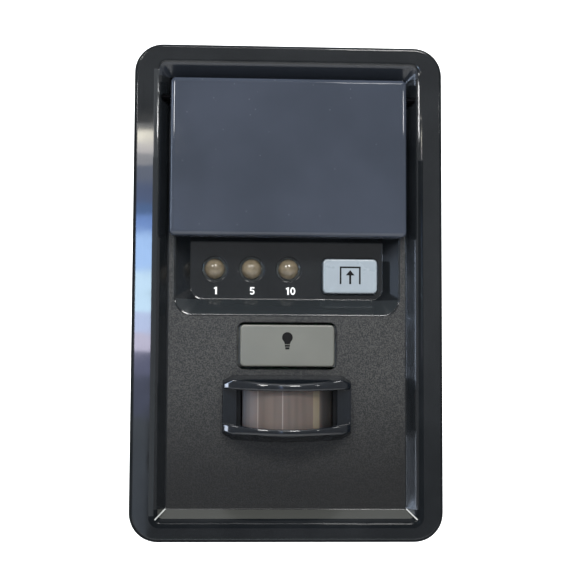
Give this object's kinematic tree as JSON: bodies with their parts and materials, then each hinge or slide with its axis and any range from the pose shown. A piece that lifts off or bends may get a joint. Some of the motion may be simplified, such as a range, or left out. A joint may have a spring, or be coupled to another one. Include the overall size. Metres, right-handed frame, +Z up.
{
  "type": "garage door controller",
  "caption": "Wall-mounted garage door control panel with a lift-up push bar, timer lights, buttons and a hooded motion sensor.",
  "frame": {"origin": "middle of the flat back face, on the wall", "axes": "+X right and +Z up seen from the front; the front faces -Y"},
  "size_m": [0.076, 0.0273, 0.1216],
  "materials": {
    "housing": "gloss, with a fine texture on the recessed panel",
    "cover": "fine matte",
    "board": "solder mask",
    "bar": "gloss",
    "steel": "plain",
    "grey_cap": "satin",
    "white_cap": "satin",
    "dark_cap": "satin",
    "learn_cap": "satin",
    "switch_black": "moulded",
    "stem": "moulded",
    "lamp": "milky epoxy",
    "spacer": "moulded",
    "clear": "clear plastic",
    "hood": "gloss",
    "lens": "milky film",
    "holder": "moulded",
    "can": "plated",
    "block": "moulded",
    "zinc": "plated",
    "brass_screw": "plated",
    "chip": "moulded epoxy",
    "capacitor": "sleeved can",
    "winding": "enamelled wire"
  },
  "bodies": {
    "housing": {"front_housing": "housing", "rear_cover": "cover", "circuit_board": "board", "switch_bodies": "switch_black", "lamp_1_minute": "lamp", "lamp_5_minutes": "lamp", "lamp_10_minutes": "lamp", "lamp_spacers": "spacer", "lamp_rings": "clear", "sensor_hood": "hood", "fresnel_lens": "lens", "lens_holder": "holder", "motion_sensor": "can", "terminal_block": "block", "wire_clamps": "zinc", "terminal_screws": "brass_screw", "case_screws": "steel", "board_screws": "steel", "microcontroller": "chip", "amplifier_chip": "chip", "storage_capacitor": "capacitor", "choke": "winding", "rectifier": "chip"},
    "hinge_rod": {"hinge_rod": "steel"},
    "push_bar": {"push_bar": "bar"},
    "main_stem": {"main_stem": "stem"},
    "light_button": {"light_button": "grey_cap", "light_stem": "stem"},
    "hold_open_button": {"hold_open_button": "white_cap", "hold_open_stem": "stem"},
    "timer_set_button": {"timer_set_button": "dark_cap", "timer_set_stem": "stem"},
    "lock_button": {"lock_button": "dark_cap", "lock_stem": "stem"},
    "learn_button": {"learn_button": "learn_cap", "learn_stem": "stem"}
  },
  "joints": [
    {"name": "bar_press", "type": "slide", "parent": "housing", "child": "hinge_rod", "axis": [0, 1, 0], "range_m": [0, 0.00028], "stiffness_N_per_m": 900, "springref_m": -0.0003},
    {"name": "bar_lift", "type": "hinge", "parent": "hinge_rod", "child": "push_bar", "pos_m": [0, -0.0204, 0.0476], "axis": [-1, 0, 0], "range_deg": [0, 115]},
    {"name": "main_switch", "type": "slide", "parent": "housing", "child": "main_stem", "axis": [0, 1, 0], "range_m": [0, 0.00029]},
    {"name": "light_press", "type": "slide", "parent": "housing", "child": "light_button", "axis": [0, 1, 0], "range_m": [0, 0.00028], "stiffness_N_per_m": 2000, "springref_m": -0.0004},
    {"name": "hold_open_press", "type": "slide", "parent": "housing", "child": "hold_open_button", "axis": [0, 1, 0], "range_m": [0, 0.00028], "stiffness_N_per_m": 2000, "springref_m": -0.0004},
    {"name": "timer_set_press", "type": "slide", "parent": "housing", "child": "timer_set_button", "axis": [0, 1, 0], "range_m": [0, 0.00028], "stiffness_N_per_m": 2000, "springref_m": -0.0004},
    {"name": "lock_press", "type": "slide", "parent": "housing", "child": "lock_button", "axis": [0, 1, 0], "range_m": [0, 0.00028], "stiffness_N_per_m": 2000, "springref_m": -0.0004},
    {"name": "learn_press", "type": "slide", "parent": "housing", "child": "learn_button", "axis": [0, 1, 0], "range_m": [0, 0.00028], "stiffness_N_per_m": 2000, "springref_m": -0.0004}
  ],
  "couplings": [
    {"joint": "main_switch", "follows": "bar_press", "ratio": 1}
  ]
}
